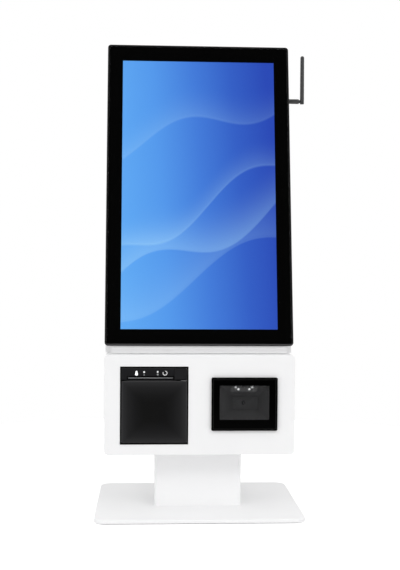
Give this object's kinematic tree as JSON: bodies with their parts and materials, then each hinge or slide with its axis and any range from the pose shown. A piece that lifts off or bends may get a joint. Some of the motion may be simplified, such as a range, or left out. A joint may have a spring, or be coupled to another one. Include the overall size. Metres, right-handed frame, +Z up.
{
  "type": "self-service kiosk",
  "caption": "Counter-top self-service kiosk: leaning portrait touch display on a housing with a receipt printer and a code scanner, carried by a column on a wide base plate.",
  "frame": {"origin": "on the table plane, under the middle of the base plate", "axes": "+Z up, the front with screen, printer and scanner faces -Y, +X to the right seen from the front"},
  "size_m": [0.4041, 0.31, 0.8948],
  "materials": {
    "pad_rubber": "matt non-slip rubber",
    "white_metal": "fine satin powder coat",
    "zinc_steel": "bright zinc plate",
    "tool_steel": "ground steel",
    "lock_chrome": "polished chrome plate",
    "rim_black": "satin black moulding",
    "printer_black": "fine-grained black moulding",
    "button_black": "smooth black moulding",
    "cover_glass": "polished cover glass",
    "window_glass": "smoke-tinted window",
    "screen": "lit screen",
    "shell_white": "satin white moulding",
    "board_green": "solder-masked circuit board",
    "aluminium": "as extruded",
    "gold_brass": "gold-flashed brass",
    "lens_clear": "clear light guides",
    "lamp_white": "domed white lamps",
    "platen_rubber": "ground rubber",
    "gear_nylon": "natural acetal",
    "paper": "thermal paper",
    "core_grey": "moulded core"
  },
  "bodies": {
    "kiosk": {"antenna_socket": "gold_brass", "back_screws": "zinc_steel", "base_pad": "pad_rubber", "base_plate": "white_metal", "base_screws": "zinc_steel", "board_tray": "zinc_steel", "button_board": "board_green", "column": "white_metal", "column_flanges": "zinc_steel", "cover_glass": "cover_glass", "cutter_frame": "tool_steel", "data_sockets": "printer_black", "display_rim": "rim_black", "display_shell": "shell_white", "feed_motor": "tool_steel", "front_panel": "white_metal", "head_bolts": "zinc_steel", "heat_sink": "aluminium", "hinge_pins": "zinc_steel", "housing_back": "white_metal", "housing_shell": "white_metal", "lcd_panel": "screen", "lcd_rails": "zinc_steel", "led_lenses": "lens_clear", "mainboard": "board_green", "power_entry": "printer_black", "power_supply": "zinc_steel", "print_head": "aluminium", "printer_bezel": "printer_black", "printer_board": "board_green", "printer_chassis": "printer_black", "scanner_bezel": "rim_black", "scanner_camera": "board_green", "scanner_hood": "printer_black", "scanner_lamps": "lamp_white", "scanner_window": "window_glass", "tear_bar": "tool_steel", "upper_cabinet": "white_metal"},
    "printer_door": {"printer_door": "printer_black", "platen_bushes": "gear_nylon", "fixed_blade": "tool_steel", "printer_pin": "zinc_steel"},
    "platen": {"platen_roller": "platen_rubber", "platen_shaft": "tool_steel", "platen_gear": "gear_nylon"},
    "idler": {"idler_gear": "gear_nylon"},
    "motor_rotor": {"motor_pinion": "gold_brass"},
    "cutter": {"cutter_blade": "tool_steel"},
    "paper": {"paper_roll": "paper", "paper_core": "core_grey"},
    "release_key": {"release_button": "button_black"},
    "feed_key": {"feed_button": "button_black"},
    "service_door": {"service_door": "white_metal", "lock_barrel": "lock_chrome"},
    "lock": {"lock_plug": "lock_chrome", "lock_cam": "lock_chrome"},
    "mains_rocker": {"rocker": "printer_black"},
    "antenna_foot": {"antenna_base": "rim_black", "antenna_pin": "zinc_steel"},
    "antenna_whip": {"antenna_whip": "rim_black"}
  },
  "joints": [
    {"name": "printer_door_hinge", "type": "hinge", "parent": "kiosk", "child": "printer_door", "pos_m": [-0.084, -0.1042, 0.14095], "axis": [1, 0, 0], "range_deg": [0, 85]},
    {"name": "platen_spin", "type": "hinge", "parent": "printer_door", "child": "platen", "pos_m": [-0.09075, -0.093, 0.2448], "axis": [1, 0, 0], "continuous": true},
    {"name": "idler_spin", "type": "hinge", "parent": "kiosk", "child": "idler", "pos_m": [-0.09075, -0.07391, 0.24274], "axis": [1, 0, 0], "continuous": true},
    {"name": "motor_spin", "type": "hinge", "parent": "kiosk", "child": "motor_rotor", "pos_m": [-0.09075, -0.05832, 0.23374], "axis": [1, 0, 0], "continuous": true},
    {"name": "cutter_slide", "type": "slide", "parent": "kiosk", "child": "cutter", "axis": [0, -1, 0], "range_m": [0, 0.0055]},
    {"name": "paper_spin", "type": "hinge", "parent": "kiosk", "child": "paper", "pos_m": [-0.09075, -0.058, 0.1813], "axis": [1, 0, 0], "continuous": true},
    {"name": "release_press", "type": "slide", "parent": "kiosk", "child": "release_key", "axis": [0, 1, 0], "range_m": [0, 0.003], "stiffness_N_per_m": 400, "springref_m": -0.002},
    {"name": "feed_press", "type": "slide", "parent": "kiosk", "child": "feed_key", "axis": [0, 1, 0], "range_m": [0, 0.0012], "stiffness_N_per_m": 600, "springref_m": -0.001},
    {"name": "service_door_hinge", "type": "hinge", "parent": "kiosk", "child": "service_door", "pos_m": [-0.124, 0.046, 0.47], "axis": [0, 0, 1], "range_deg": [0, 95]},
    {"name": "lock_turn", "type": "hinge", "parent": "service_door", "child": "lock", "pos_m": [0.104, 0.05, 0.47], "axis": [0, 1, 0], "range_deg": [0, 90]},
    {"name": "rocker_tilt", "type": "hinge", "parent": "kiosk", "child": "mains_rocker", "pos_m": [0.085, 0.048, 0.158], "axis": [0, 0, 1], "range_deg": [0, 14]},
    {"name": "antenna_swivel", "type": "hinge", "parent": "kiosk", "child": "antenna_foot", "pos_m": [0.2, 0.04576, 0.79252], "axis": [1, 0, 0], "range_deg": [-90, 90]},
    {"name": "antenna_elbow", "type": "hinge", "parent": "antenna_foot", "child": "antenna_whip", "pos_m": [0.208, 0.04576, 0.79252], "axis": [0, 1, 0], "range_deg": [0, 90]}
  ],
  "couplings": [
    {"joint": "idler_spin", "follows": "platen_spin", "ratio": -0.77778},
    {"joint": "motor_spin", "follows": "platen_spin", "ratio": 1.1667}
  ]
}
